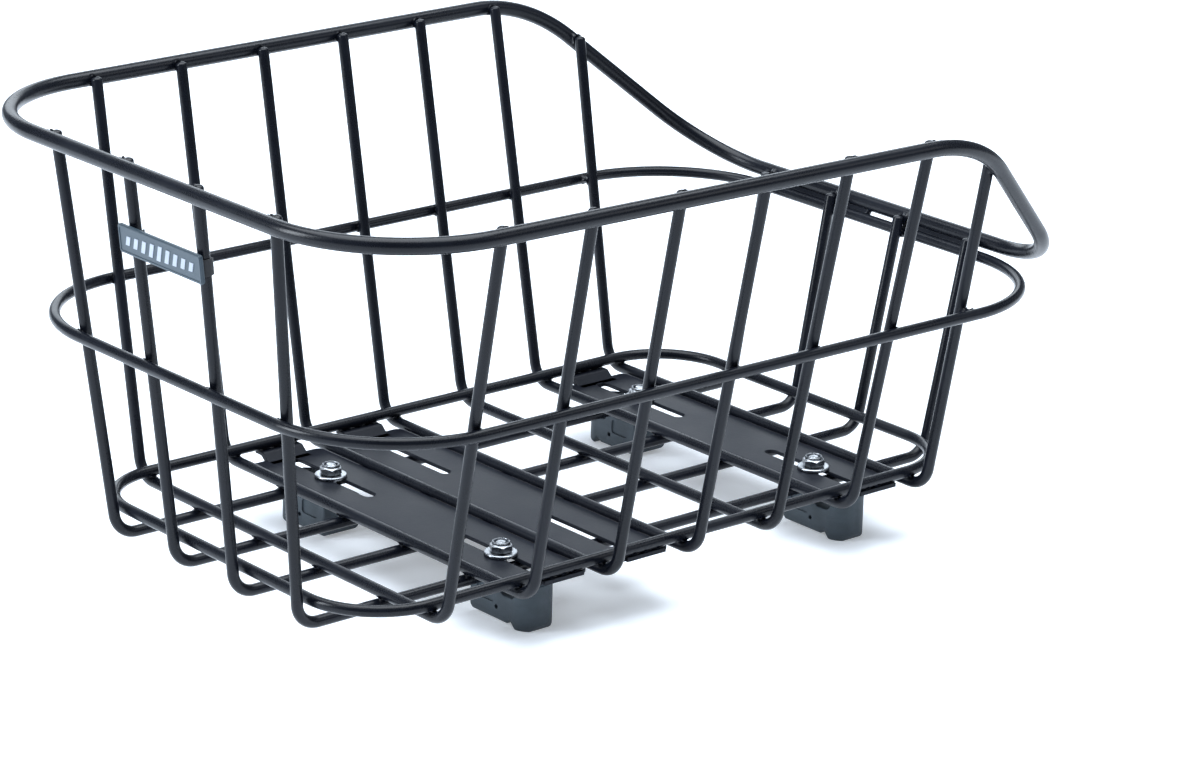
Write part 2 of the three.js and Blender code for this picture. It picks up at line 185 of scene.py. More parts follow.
def powder_coat(name, base, lift, gloss, peel, shine):
    """Sprayed powder paint: near-black with clouding, orange peel, fine grain and a few dust specks."""
    material, tree, shader, place = new_material(name)
    clouds = noise(tree, place, 38.0, 4.0, 0.55)
    grain = noise(tree, place, 0.4, 2.0)
    dust = ramp(tree, noise(tree, place, 0.9, 1.0), (0.74, 0.0), (0.8, 1.0))
    tinted = tree.nodes.new("ShaderNodeMix")
    tinted.data_type = "RGBA"
    tree.links.new(combine(tree, "MULTIPLY", dust, 0.35), tinted.inputs["Factor"])
    tree.links.new(ramp(tree, clouds, (0.32, base), (0.68, lift)), tinted.inputs["A"])
    tinted.inputs["B"].default_value = (*(3.2 * c for c in lift), 1)
    tree.links.new(tinted.outputs["Result"], shader.inputs["Base Color"])
    coarse = combine(tree, "MULTIPLY", clouds, 0.6)
    mottle = combine(tree, "ADD", coarse, combine(tree, "MULTIPLY", grain, 0.4))
    tree.links.new(ramp(tree, mottle, (0.3, gloss - 0.05), (0.7, gloss + 0.07)), shader.inputs["Roughness"])
    relief = combine(tree, "ADD", noise(tree, place, 1.6, 1.0), combine(tree, "MULTIPLY", grain, 0.25))
    bump(tree, shader, relief, peel)
    shader.inputs["Specular IOR Level"].default_value = shine
    return material


def moulded_nylon(name, base, lift, rough):
    """Glass-filled nylon: matt, with a fine spark-eroded grain and faint flow marks."""
    material, tree, shader, place = new_material(name)
    grain = noise(tree, place, 0.32, 3.0, 0.6)
    flow = noise(tree, stretched(tree, place, (1.0, 0.35, 1.6)), 9.0, 4.0, 0.6)
    tree.links.new(ramp(tree, flow, (0.3, base), (0.72, lift)), shader.inputs["Base Color"])
    tree.links.new(ramp(tree, grain, (0.3, rough - 0.07), (0.7, rough + 0.09)), shader.inputs["Roughness"])
    bump(tree, shader, grain, 0.035)
    shader.inputs["Specular IOR Level"].default_value = 0.42
    return material


def zinc_plate(name, dark, pale, gloss):
    """Bright zinc on steel: slightly cold, with soft blotches and fine tumbling marks."""
    material, tree, shader, place = new_material(name)
    blotch = noise(tree, place, 3.2, 3.0, 0.6)
    marks = noise(tree, place, 0.28, 2.0)
    tree.links.new(ramp(tree, blotch, (0.25, dark), (0.75, pale)), shader.inputs["Base Color"])
    tree.links.new(ramp(tree, blotch, (0.3, gloss), (0.75, gloss + 0.16)), shader.inputs["Roughness"])
    bump(tree, shader, marks, 0.012)
    shader.inputs["Metallic"].default_value = 1.0
    return material


PAINT = powder_coat("paint_satin_black", (0.0022, 0.0030, 0.0056), (0.0042, 0.0056, 0.0098),
                    gloss=0.27, peel=0.03, shine=0.24)
SHEET_PAINT = powder_coat("paint_fine_matt_black", (0.0044, 0.0056, 0.0092), (0.0076, 0.0093, 0.0142),
                          gloss=0.44, peel=0.03, shine=0.14)
NYLON = moulded_nylon("nylon_slate", (0.026, 0.037, 0.047), (0.038, 0.052, 0.064), 0.58)
BLACK_PLASTIC = moulded_nylon("plastic_black", (0.008, 0.009, 0.011), (0.013, 0.014, 0.017), 0.5)
INSERT = moulded_nylon("nylon_insert", (0.010, 0.014, 0.024), (0.016, 0.022, 0.034), 0.45)
ZINC = zinc_plate("zinc_bright", (0.26, 0.275, 0.30), (0.46, 0.48, 0.505), 0.22)
BADGE_FACE = moulded_nylon("badge_grey_blue", (0.026, 0.044, 0.060), (0.034, 0.055, 0.074), 0.40)
BADGE_MARK = moulded_nylon("badge_pale", (0.30, 0.34, 0.40), (0.36, 0.40, 0.46), 0.34)

# ---------------------------------------------------------------- mesh helpers


def finish_piece(name, build, material, body="basket", replaces=(), smooth_angle=40,
                 flat_area=1e9):
    """Turns a bmesh in millimetres into a piece riding on a body. Faces over flat_area stay flat."""
    bmesh.ops.recalc_face_normals(build, faces=build.faces)
    for face in build.faces:
        face.smooth = face.calc_area() < flat_area
    for edge in build.edges:
        if len(edge.link_faces) == 2:
            edge.smooth = edge.calc_face_angle() < math.radians(smooth_angle)
    for vertex in build.verts:
        vertex.co *= MM
    mesh = bpy.data.meshes.new(name)
    build.to_mesh(mesh)
    build.free()
    piece = bpy.data.objects.new(name, mesh)
    bpy.context.scene.collection.objects.link(piece)
    mesh.materials.append(material)
    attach(piece, body)
    if replaces:
        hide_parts(*replaces)
    return piece


def ring_of(build, centre, across, up, radius, sides):
    """A circle of new vertices round centre."""
    return [
        build.verts.new(centre + across * (radius * math.cos(2 * math.pi * i / sides))
                        + up * (radius * math.sin(2 * math.pi * i / sides)))
        for i in range(sides)
    ]


def skin(build, rings, closed=False):
    """Quads between neighbouring rings of equal length."""
    pairs = list(zip(rings, rings[1:]))
    if closed:
        pairs.append((rings[-1], rings[0]))
    for a, b in pairs:
        for i in range(len(a)):
            j = (i + 1) % len(a)
            build.faces.new((a[i], a[j], b[j], b[i]))


def close_ring(build, ring, centre):
    """A fan of triangles from a ring to a middle point."""
    middle = build.verts.new(centre)
    for i in range(len(ring)):
        build.faces.new((ring[i], ring[(i + 1) % len(ring)], middle))


def turned(build, profile, sides=48, closed=False):
    """A turned solid about Z from (radius, height) points. A radius may be a function of the angle."""
    rings = []
    for radius, z in profile:
        ring = []
        for i in range(sides):
            angle = 2 * math.pi * i / sides
            r = radius(angle) if callable(radius) else radius
            ring.append(build.verts.new((r * math.cos(angle), r * math.sin(angle), z)))
        rings.append(ring)
    skin(build, rings, closed)
    if not closed:
        close_ring(build, rings[0], Vector((0, 0, profile[0][1])))
        close_ring(build, rings[-1], Vector((0, 0, profile[-1][1])))


def arc(cx, cy, radius, start, end, steps=8):
    """Points along an arc, angles in degrees."""
    angles = [math.radians(start + (end - start) * k / steps) for k in range(steps + 1)]
    return [(cx + radius * math.cos(a), cy + radius * math.sin(a)) for a in angles]


def rounded_box(width, height, radius):
    x, y = width / 2 - radius, height / 2 - radius
    return (arc(x, -y, radius, -90, 0) + arc(x, y, radius, 0, 90) + arc(-x, y, radius, 90, 180)
            + arc(-x, -y, radius, 180, 270))


def slot_outline(start, end, width, side):
    """A slot along Y with round ends."""
    r = width / 2
    low, high = sorted((side * start, side * end))
    return arc(0, high - r, r, 0, 180, 16) + arc(0, low + r, r, 180, 360, 16)


def cut_sheet(outlines, thickness, edge, turns=3):
    """A sheet cut to outlines, the first the outside and the others holes, with rounded edges."""
    curve = bpy.data.curves.new("cut", "CURVE")
    curve.dimensions = "2D"
    curve.fill_mode = "BOTH"
    curve.extrude = thickness / 2 - edge
    curve.bevel_depth = edge
    curve.bevel_resolution = turns
    curve.offset = -edge
    for outline in outlines:
        spline = curve.splines.new("POLY")
        spline.points.add(len(outline) - 1)
        for point, (x, y) in zip(spline.points, outline):
            point.co = (x, y, 0, 1)
        spline.use_cyclic_u = True
    holder = bpy.data.objects.new("cut", curve)
    mesh = bpy.data.meshes.new_from_object(holder)
    build = bmesh.new()
    build.from_mesh(mesh)
    bmesh.ops.remove_doubles(build, verts=build.verts, dist=1e-4)
    bpy.data.objects.remove(holder)
    bpy.data.curves.remove(curve)
    bpy.data.meshes.remove(mesh)
    return build


def absorb(build, other, placing=None):
    """Moves another bmesh's geometry into build, placed by a matrix."""
    if placing is not None:
        bmesh.ops.transform(other, matrix=placing, verts=other.verts)
    mesh = bpy.data.meshes.new("part")
    other.to_mesh(mesh)
    other.free()
    build.from_mesh(mesh)
    bpy.data.meshes.remove(mesh)
    return build


def carve(solid, cutter):
    """The first bmesh minus the second."""
    holders = []
    for build in (solid, cutter):
        bmesh.ops.recalc_face_normals(build, faces=build.faces)
        mesh = bpy.data.meshes.new("carve")
        build.to_mesh(mesh)
        build.free()
        holder = bpy.data.objects.new("carve", mesh)
        bpy.context.scene.collection.objects.link(holder)
        holders.append(holder)
    cut = holders[0].modifiers.new("cut", "BOOLEAN")
    cut.operation = "DIFFERENCE"
    cut.solver = "EXACT"
    cut.object = holders[1]
    bpy.context.view_layer.update()
    mesh = bpy.data.meshes.new_from_object(holders[0].evaluated_get(bpy.context.evaluated_depsgraph_get()))
    build = bmesh.new()
    build.from_mesh(mesh)
    bpy.data.meshes.remove(mesh)
    for holder in holders:
        data = holder.data
        bpy.data.objects.remove(holder)
        bpy.data.meshes.remove(data)
    return build


class Path:
    """Rod centre line: straight runs joined by round bends. Stations are (point, tangent)."""

    def __init__(self, corners, radii, closed, bend_steps):
        self.closed = closed
        self.stations = []
        count = len(corners)
        for i, corner in enumerate(corners):
            before, after = corners[i - 1], corners[(i + 1) % count]
            if not closed and i in (0, count - 1):
                tangent = (after - corner) if i == 0 else (corner - before)
                self.stations.append((corner.copy(), tangent.normalized()))
            else:
                self.bend(before, corner, after, radii[i], bend_steps)

    def bend(self, before, corner, after, radius, steps):
        arriving = (corner - before).normalized()
        leaving = (after - corner).normalized()
        turn = arriving.angle(leaving)
        start = corner - arriving * (radius * math.tan(turn / 2))
        inward = (leaving - arriving * leaving.dot(arriving)).normalized()
        for k in range(steps + 1):
            angle = turn * k / steps
            point = start + arriving * (radius * math.sin(angle)) + inward * (radius * (1 - math.cos(angle)))
            self.stations.append((point, arriving * math.cos(angle) + inward * math.sin(angle)))


def dome(build, point, tangent, across, up, radius, sides, sign):
    """Rings of a low rounded end, from its middle outwards to the rod's full radius."""
    steps = 6
    height = 0.62 * radius
    rings = []
    for k in range(1, steps + 1):
        angle = 0.5 * math.pi * k / steps
        centre = point - tangent * (sign * height * (1 - math.cos(angle)))
        rings.append(ring_of(build, centre, across, up, radius * math.sin(angle), sides))
    close_ring(build, rings[0], point)
    return rings


def sweep(build, path, radius, sides):
    """Round rod along a path. Open ends are ground to a low dome."""
    points = [s[0] for s in path.stations]
    tangents = [s[1] for s in path.stations]
    across = tangents[0].cross(Vector((0, 0, 1)))
    across = across.normalized() if across.length > 1e-3 else Vector((1, 0, 0))
    frames = []
    for tangent in tangents:
        across = (across - tangent * across.dot(tangent)).normalized()
        frames.append((across.copy(), tangent.cross(across)))
    if path.closed:
        skin(build, [ring_of(build, p, *f, radius, sides) for p, f in zip(points, frames)], closed=True)
        return
    rings = dome(build, points[0], tangents[0], *frames[0], radius, sides, -1)
    rings += [ring_of(build, p, *f, radius, sides) for p, f in zip(points[1:-1], frames[1:-1])]
    rings += reversed(dome(build, points[-1], tangents[-1], *frames[-1], radius, sides, 1))
    skin(build, rings)


def rod(name, path, radius, sides, node):
    build = bmesh.new()
    sweep(build, path, radius, sides)
    return finish_piece(name, build, PAINT, replaces=[node])


# ---------------------------------------------------------------- centre lines


def ring_corners(ring, z):
    return [
        Vector((ring["rear"], -ring["rear_half"], z)),
        Vector((ring["front"], -ring["front_half"], z)),
        Vector((ring["front"], ring["front_half"], z)),
        Vector((ring["rear"], ring["rear_half"], z)),
    ]


def rim_path(bend_steps):
    corners = []
    radii = []
    for side in (-1, 1):
        half = [
            (Vector((RIM_REAR[0], side * RIM_REAR[1], RIM_Z)), RIM_REAR[2]),
            (Vector((RIM_SHOULDER[0], side * RIM_SHOULDER[1], RIM_Z)), RIM_SHOULDER[2]),
            (Vector((RIM_FRONT[0], side * RIM_FRONT[1], FRONT_RIM_Z)), RIM_FRONT[2]),
        ]
        if side == 1:
            half.reverse()
        corners += [c for c, _ in half]
        radii += [r for _, r in half]
    return Path(corners, radii, True, bend_steps)


def rim_at(x):
    """Far side of the rim at a given x, from the same eight-step bends as the CAD."""
    side = sorted((p for p, _ in rim_path(8).stations if p.y > 0), key=lambda p: p.x)
    for a, b in zip(side, side[1:]):
        if b.x > x:
            return a.lerp(b, (x - a.x) / (b.x - a.x))


def wire_end(foot, top):
    return top + (top - foot).normalized() * (RIM_R + CAP_RISE)


def on_line(foot, top, z):
    return foot.lerp(top, (z - foot.z) / (top.z - foot.z))


WIRE_OFFSET = RIM_R + WIRE_R + GAP
BEND_STEPS = 14


def cross_line(x, side):
    """Foot and top of one upright of a cross wire."""
    rim = rim_at(x)
    half = rim.y - WIRE_OFFSET * (1 + 2 * (RIM_Z - rim.z) / RIM_Z)
    return Vector((x, side * CROSS_FOOT, BASE_Z)), Vector((x, side * half, rim.z))


def rear_line(i):
    return (Vector((-LONG_REAR_FOOT, LONG_Y[i], BASE_Z)),
            Vector((RIM_REAR[0] + WIRE_OFFSET, LONG_REAR_Y[i], RIM_Z)))


def front_line(i):
    return (Vector((LONG_FRONT_FOOT, LONG_Y[i], BASE_Z)),
            Vector((RIM_FRONT[0] - WIRE_OFFSET - 2.2, LONG_FRONT_Y[i], FRONT_RIM_Z)))


def u_path(first, second, floor_z):
    """U wire: top end, floor corner, floor corner, top end."""
    corners = [wire_end(*first), on_line(*first, floor_z), on_line(*second, floor_z), wire_end(*second)]
    return Path(corners, [0, BEND_R, BEND_R, 0], False, BEND_STEPS)


def ring_path(ring, z, bend_steps):
    return Path(ring_corners(ring, z), [ring["radius"]] * 4, True, bend_steps)


rod("rim", rim_path(30), RIM_R - RIM_INSET, 40, "rim_tube")
rod("ring_middle", ring_path(MIDDLE, MIDDLE_Z, 30), WIRE_R, 28, "middle_ring")
rod("ring_base", ring_path(BASE, BASE_Z, 26), WIRE_R, 28, "base_ring")
for index, x in enumerate(CROSS_X):
    rod(f"wire_cross_{index + 1}", u_path(cross_line(x, -1), cross_line(x, 1), CROSS_FLOOR_Z), WIRE_R, 28,
        f"cross_wire_{index + 1}")
for index in range(4):
    rod(f"wire_long_{index + 1}", u_path(rear_line(index), front_line(index), LONG_FLOOR_Z), WIRE_R, 28,
        f"long_wire_{index + 1}")

# ---------------------------------------------------------------- welds


def nearest_on(path, x=None, y=None):
    """Point where a ring passes a given x or y. The second number is the sign of the other coordinate."""
    axis, value, other = (0, x[0], x[1]) if x else (1, y[0], y[1])
    stations = path.stations + path.stations[:1]
    for (a, _), (b, _) in zip(stations, stations[1:]):
        low, high = sorted((a[axis], b[axis]))
        middle = (a + b) / 2
        if low <= value <= high and middle[1 - axis] * other > 0 and high - low > 1e-6:
            return a.lerp(b, (value - a[axis]) / (b[axis] - a[axis]))


def weld(build, first, second, r_first, r_second, spread=1.0, turn=0.0):
    """The squeezed neck of metal between two rods whose centre lines pass through first and second."""
    normal = (second - first).normalized()
    surface_a = first + normal * (r_first - WELD_DEPTH)
    surface_b = second - normal * (r_second - WELD_DEPTH)
    across = normal.cross(Vector((0.31, 0.22, 0.93)))
    across.normalize()
    up = normal.cross(across)
    rows = 9
    sides = 20
    rings = []
    for k in range(rows):
        t = k / (rows - 1)
        flare = (2 * t - 1) ** 2
        ring = []
        for i in range(sides):
            angle = 2 * math.pi * i / sides
            ripple = 1 + 0.07 * math.sin(2 * angle + turn) + 0.05 * math.sin(5 * angle + 2.3 * turn + 3 * t)
            radius = (1.75 + 1.0 * flare) * spread * ripple
            ring.append(build.verts.new(surface_a.lerp(surface_b, t) + across * (radius * math.cos(angle))
                                        + up * (radius * math.sin(angle))))
        rings.append(ring)
    skin(build, rings)
    close_ring(build, rings[0], surface_a)
    close_ring(build, rings[-1], surface_b)


def weld_floor():
    build = bmesh.new()
    for n, x in enumerate(CROSS_X):
        for m, y in enumerate(LONG_Y):
            weld(build, Vector((x, y, CROSS_FLOOR_Z)), Vector((x, y, LONG_FLOOR_Z)), WIRE_R, WIRE_R,
                 turn=n + 2 * m)
        for side in (-1, 1):
            y = side * BASE["rear_half"]
            if abs(x) < CROSS_X[-1]:
                weld(build, Vector((x, y, BASE_Z)), Vector((x, y, CROSS_FLOOR_Z)), WIRE_R, WIRE_R,
                     turn=n + side)
    for side in (-1, 1):
        for x in (CROSS_X[0], CROSS_X[-1]):
            point = nearest_on(ring_path(BASE, BASE_Z, 24), x=(x, side))
            weld(build, point, Vector((x, point.y, CROSS_FLOOR_Z)), WIRE_R, WIRE_R, turn=x + side)
    return finish_piece("welds_floor", build, PAINT)


def weld_uprights():
    build = bmesh.new()
    middle = ring_path(MIDDLE, MIDDLE_Z, 30)
    for n, x in enumerate(CROSS_X):
        for side in (-1, 1):
            foot, top = cross_line(x, side)
            ring = nearest_on(middle, x=(x, side))
            weld(build, on_line(foot, top, MIDDLE_Z), ring, WIRE_R, WIRE_R, turn=n + side)
            rim = rim_at(x)
            weld(build, top, Vector((x, side * rim.y, rim.z)), WIRE_R, RIM_R, spread=1.1, turn=n - side)
    for n in range(4):
        foot, top = rear_line(n)
        weld(build, on_line(foot, top, MIDDLE_Z), nearest_on(middle, y=(on_line(foot, top, MIDDLE_Z).y, -1)),
             WIRE_R, WIRE_R, turn=n)
        weld(build, top, Vector((RIM_REAR[0], top.y, RIM_Z)), WIRE_R, RIM_R, spread=1.1, turn=n + 3)
        foot, top = front_line(n)
        weld(build, on_line(foot, top, MIDDLE_Z), nearest_on(middle, y=(on_line(foot, top, MIDDLE_Z).y, 1)),
             WIRE_R, WIRE_R, turn=n)
        weld(build, top, Vector((RIM_FRONT[0], top.y, FRONT_RIM_Z)), WIRE_R, RIM_R, spread=1.15, turn=n + 5)
    return finish_piece("welds_uprights", build, PAINT)


def weld_plates():
    """Plate to long wires from above and below, and tongue ends to the base ring."""
    build = bmesh.new()
    for n, x in enumerate(PLATE_BAYS.values()):
        for y in LONG_Y:
            for shift in (-13.0, 13.0):
                weld(build, Vector((x + shift, y, PLATE_Z + 0.9)), Vector((x + shift, y, LONG_FLOOR_Z)),
                     1.9, WIRE_R, turn=n + shift)
        for side in (-1, 1):
            for shift in (-7.0, 0.0, 7.0):
                ring = Vector((x + shift, side * BASE["rear_half"], BASE_Z))
                weld(build, ring, ring - Vector((0, 0, WIRE_R + GAP + 1.0)), WIRE_R, 1.9, turn=n + shift)
    return finish_piece("welds_plates", build, SHEET_PAINT)


weld_floor()
weld_uprights()
weld_plates()

# ---------------------------------------------------------------- floor plates


def plate_outline(bay):
    """Rounded rectangle. The middle plate has a shallow cut-out in its edge near both ends."""
    outline = rounded_box(2 * PLATE_HALF_WIDTH, 2 * PLATE_HALF_LENGTH, PLATE_CORNER)
    if bay != "middle":
        return outline
    half = PLATE_HALF_WIDTH
    cuts = [(-half, 94.0), (-half + 1.7, 93.0), (-half + 1.7, 76.0), (-half, 75.0)]
    left_side = cuts + [(x, -y) for x, y in reversed(cuts)]
    split = next(i for i, (x, y) in enumerate(outline) if x < -half + 1e-6 and y > 0)
    return outline[:split + 1] + left_side + outline[split + 1:]


def tongue(side):
    """The raised tab at one end of a plate, which reaches under the base ring."""
    t = PLATE_T / 2
    rise = BASE_Z - WIRE_R - GAP - PLATE_TOP
    bend, raised, end = TAB["bend"], TAB["raised"], TAB["end"]
    underside = [(bend - 6, -t), (bend - 0.6, -t), (bend + 0.5, -t + 0.4), (raised - 0.2, rise - t - 0.5),
                 (raised + 0.6, rise - t), (end, rise - t)]
    top = [(end, rise + t), (raised - 1.2, rise + t), (raised - 2.2, rise + t - 0.5),
           (bend - 1.6, t + 0.2), (bend - 2.4, t), (bend - 6, t)]
    build = cut_sheet([underside + top], 2 * TAB["half"], 0.35)
    placing = Matrix.Rotation(side * math.pi / 2, 4, "Z") @ Matrix.Rotation(math.pi / 2, 4, "X")
    bmesh.ops.transform(build, matrix=placing, verts=build.verts)
    return build


for bay, x in PLATE_BAYS.items():
    cut = LIGHT_SLOT if bay == "middle" else BOLT_SLOT
    outlines = [plate_outline(bay)] + [slot_outline(*cut, side) for side in (-1, 1)]
    plate = cut_sheet(outlines, PLATE_T, SHEET_EDGE)
    for side in (-1, 1):
        absorb(plate, tongue(side))
    bmesh.ops.translate(plate, vec=(x, 0, PLATE_Z), verts=plate.verts)
    finish_piece(f"plate_{bay}", plate, SHEET_PAINT, replaces=[f"floor_plate_{bay}"],
                 smooth_angle=50, flat_area=4)

# ---------------------------------------------------------------- rail clamps


def hook_section(u):
    """Half width, lowest and highest point of a hook at a distance u from the basket's centre line."""
    h = HOOK
    half = h["half"]
    nose = u - (h["outer"] - h["nose"])
    if nose > 0:
        half = h["half"] - h["nose"] + math.sqrt(max(h["nose"] ** 2 - nose ** 2, 0.0))
    low = h["bottom"]
    if u < h["inner"] + h["chamfer"]:
        low = h["bottom"] + h["chamfer"] - (u - h["inner"])
    for start, end, z_start, z_end in ((14, 11, h["bottom"], h["bottom"] + 2), (11, 8, h["bottom"] + 2, 0),
                                       (8, 2.2, 0, 0), (2.2, 0, 0, 2.8)):
        t = (u - (h["outer"] - start)) / (start - end)
        if 0 < t <= 1.0001:
            low = z_start + (z_end - z_start) * t
    high = h["top"]
    if h["seat_from"] < u < h["seat_to"]:
        high = h["seat_z"] + max(0.0, 2.0 - (u - h["seat_from"]), 2.0 - (h["seat_to"] - u))
    elif u >= h["seat_to"]:
        high = h["jaw_top"] - max(0.0, u - (h["outer"] - 1.5))
    return half, low, high


def hook_stations():
    h = HOOK
    near = 0.02
    marks = [h["inner"], h["inner"] + 0.6, h["inner"] + 1.0, h["inner"] + h["chamfer"],
             h["inner"] + h["chamfer"] + 0.4, 66.0, 70.0, 75.0, h["seat_from"] - 0.5, h["seat_from"] - near,
             h["seat_from"] + near, h["seat_from"] + 0.7, h["seat_from"] + 1.4, h["seat_from"] + 2.0,
             h["seat_to"] - 1.0, h["seat_to"] - 0.4, h["seat_to"] - near, h["seat_to"] + near,
             h["seat_to"] + 0.5]
    marks += [h["outer"] - back for back in (14, 13.4, 11, 10.6, 9.3, 8.2)]
    marks += [h["outer"] - h["nose"] * (1 - math.sin(math.radians(a))) for a in range(18, 90, 4)]
    return sorted(m for m in marks if m < h["outer"] - 0.02) + [h["outer"] - 0.005]


def section_ring(build, u, half, low, high):
    """Rectangle of vertices across the hook at u, its lower corners rounder than its upper ones."""
    upper, lower = (min(r, half - 0.05, (high - low) / 2 - 0.05) for r in (0.7, 1.8))
    points = []
    for sx, sz, start, r in ((1, 1, 0, upper), (-1, 1, 90, upper), (-1, -1, 180, lower), (1, -1, 270, lower)):
        centre_z = high - r if sz > 0 else low + r
        points += arc(sx * (half - r), centre_z, r, start, start + 90, 5)
    return [build.verts.new((u, x, z)) for x, z in points]


def hook_body():
    build = bmesh.new()
    rings = []
    stations = hook_stations()
    for u in stations:
        half, low, high = hook_section(u)
        if u == stations[0]:
            rings.append(section_ring(build, u, half - 0.5, low + 0.5, high - 0.5))
            low += 0.02
        rings.append(section_ring(build, u + (0.5 if u == stations[0] else 0), half, low, high))
    skin(build, rings)
    build.faces.new(rings[0])
    build.faces.new(rings[-1])
    return build


def hook_cutters():
    """Bolt bore, pocket for the head, and on both flanks a shallow panel and a pin hole."""
    cutters = bmesh.new()
    bore = bmesh.new()
    shoulder = HEAD["z"] + HEAD["height"] + GAP
    turned(bore, [(HEAD["r"] + GAP, -1), (HEAD["r"] + GAP, shoulder), (BOLT_R + GAP, shoulder + 0.01),
                  (BOLT_R + GAP, BASE_Z)], 40)
    absorb(cutters, bore, Matrix.Translation((CLAMP_Y, 0, 0)))
    for side in (-1, 1):
        panel = cut_sheet([rounded_box(12.5, 7.5, 1.8)], 1.6, 0.3)
        placing = Matrix.Translation((68.5, side * HOOK["half"], 13.4)) @ Matrix.Rotation(math.pi / 2, 4, "X")
        absorb(cutters, panel, placing)
        pin = bmesh.new()
        turned(pin, [(1.15, -3), (1.15, 3)], 20)
        placing = Matrix.Translation((76.6, side * HOOK["half"], 8.2)) @ Matrix.Rotation(math.pi / 2, 4, "X")
        absorb(cutters, pin, placing)
    return cutters


def bolt_shank():
    """Helical M6 thread with a pitch of 1 mm and a chamfered tip."""
    build = bmesh.new()
    sides = 32
    per_turn = 8
    bottom = HEAD["z"] + HEAD["height"]
    plain = HOOK["top"] - 6.0
    rows = [(bottom, 0.0), (plain, 0.0)]
    count = int((BOLT_TOP - plain) * per_turn)
    rows += [(plain + (k + 1) / per_turn, 1.0) for k in range(count)]
    rings = []
    for z, threaded in rows:
        ring = []
        tip = max(0.0, z - (BOLT_TOP - 0.9))
        for i in range(sides):
            angle = 2 * math.pi * i / sides
            phase = (z - angle / (2 * math.pi)) % 1.0
            depth = 0.5 * threaded * min(1.0, 4.8 * min(phase, 1 - phase) - 0.2)
            r = BOLT_R - 0.02 - max(0.0, depth) - 0.75 * tip
            ring.append(build.verts.new((r * math.cos(angle), r * math.sin(angle), z)))
        rings.append(ring)
    skin(build, rings)
    close_ring(build, rings[0], Vector((0, 0, bottom)))
    close_ring(build, rings[-1], Vector((0, 0, rows[-1][0] + 0.05)))
    return build


def bolt_head():
    """Low round head with a hexagon socket, seen from below."""
    build = bmesh.new()
    r, z, height = HEAD["r"], HEAD["z"], HEAD["height"]

    def socket(angle):
        return 2.0 / math.cos((angle + math.pi / 6) % (math.pi / 3) - math.pi / 6)

    profile = [(socket, z + 2.0), (socket, z + 0.25), (lambda a: socket(a) + 0.3, z)]
    profile += [(r - 1.2 + 1.2 * math.sin(a), z + 1.2 - 1.2 * math.cos(a))
                for a in (math.radians(d) for d in range(0, 91, 15))]
    profile += [(r, z + height - 0.3), (r - 0.3, z + height)]
    turned(build, profile, 48)
    return build


def hexagon(angle):
    """Radius of the nut's hexagon at an angle."""
    return NUT_AF / 2 / math.cos((angle + math.pi / 6) % (math.pi / 3) - math.pi / 6)


def nut_body():
    """Lock nut: chamfered hexagon, rolled collar round a nylon ring, and an open bore."""
    build = bmesh.new()
    bottom, top = NUT_Z, NUT_Z + NUT_T
    shoulder = bottom + 3.3
    face = NUT_AF / 2 - 0.15
    slope = math.tan(math.radians(30))
    rings = [
        (BOLT_R + 0.22, bottom + 0.35), (BOLT_R + 0.6, bottom), (face - 0.1, bottom),
        (face, bottom + 0.03), (hexagon, lambda a: bottom + 0.03 + (hexagon(a) - face) * slope),
        (hexagon, lambda a: shoulder - 0.03 - (hexagon(a) - face) * slope), (face, shoulder - 0.03),
        (4.6, shoulder), (4.42, shoulder + 0.12), (4.34, shoulder + 0.3), (4.34, top - 0.62),
        (4.28, top - 0.3),
        (4.08, top - 0.07), (3.86, top), (3.66, top - 0.06), (3.56, top - 0.22), (3.55, top - 1.1),
        (BOLT_R + 0.22, top - 1.15),
    ]
    sides = 72
    made = []
    for radius, z in rings:
        ring = []
        for i in range(sides):
            angle = 2 * math.pi * i / sides
            r = radius(angle) if callable(radius) else radius
            height = z(angle) if callable(z) else z
            ring.append(build.verts.new((r * math.cos(angle), r * math.sin(angle), height)))
        made.append(ring)
    skin(build, made, closed=True)
    return build


def nut_insert():
    build = bmesh.new()
    top = NUT_Z + NUT_T
    turned(build, [(3.53, top - 1.05), (3.53, top - 0.34), (3.4, top - 0.26), (3.2, top - 0.3),
                   (3.06, top - 0.45), (3.06, top - 1.05)], 48, closed=True)
    return build


def washer_body():
    build = bmesh.new()
    low, high = WASHER_Z, WASHER_Z + WASHER_T
    inner, outer = BOLT_R + GAP, WASHER_R
    turned(build, [(inner, low + 0.15), (inner + 0.15, low), (outer - 0.12, low), (outer, low + 0.12),
                   (outer, high - 0.5), (outer - 0.12, high - 0.22), (outer - 0.4, high - 0.04),
                   (outer - 0.7, high), (inner + 0.25, high), (inner + 0.08, high - 0.07),
                   (inner, high - 0.25)], 72, closed=True)
    return build


def placed(build, place):
    x, side = PLACES[place]
    placing = Matrix.Translation((x, 0, 0)) @ Matrix.Rotation(side * math.pi / 2, 4, "Z")
    bmesh.ops.transform(build, matrix=placing, verts=build.verts)
    return build


def at_bolt(build):
    bmesh.ops.translate(build, vec=(CLAMP_Y, 0, 0), verts=build.verts)
    return build


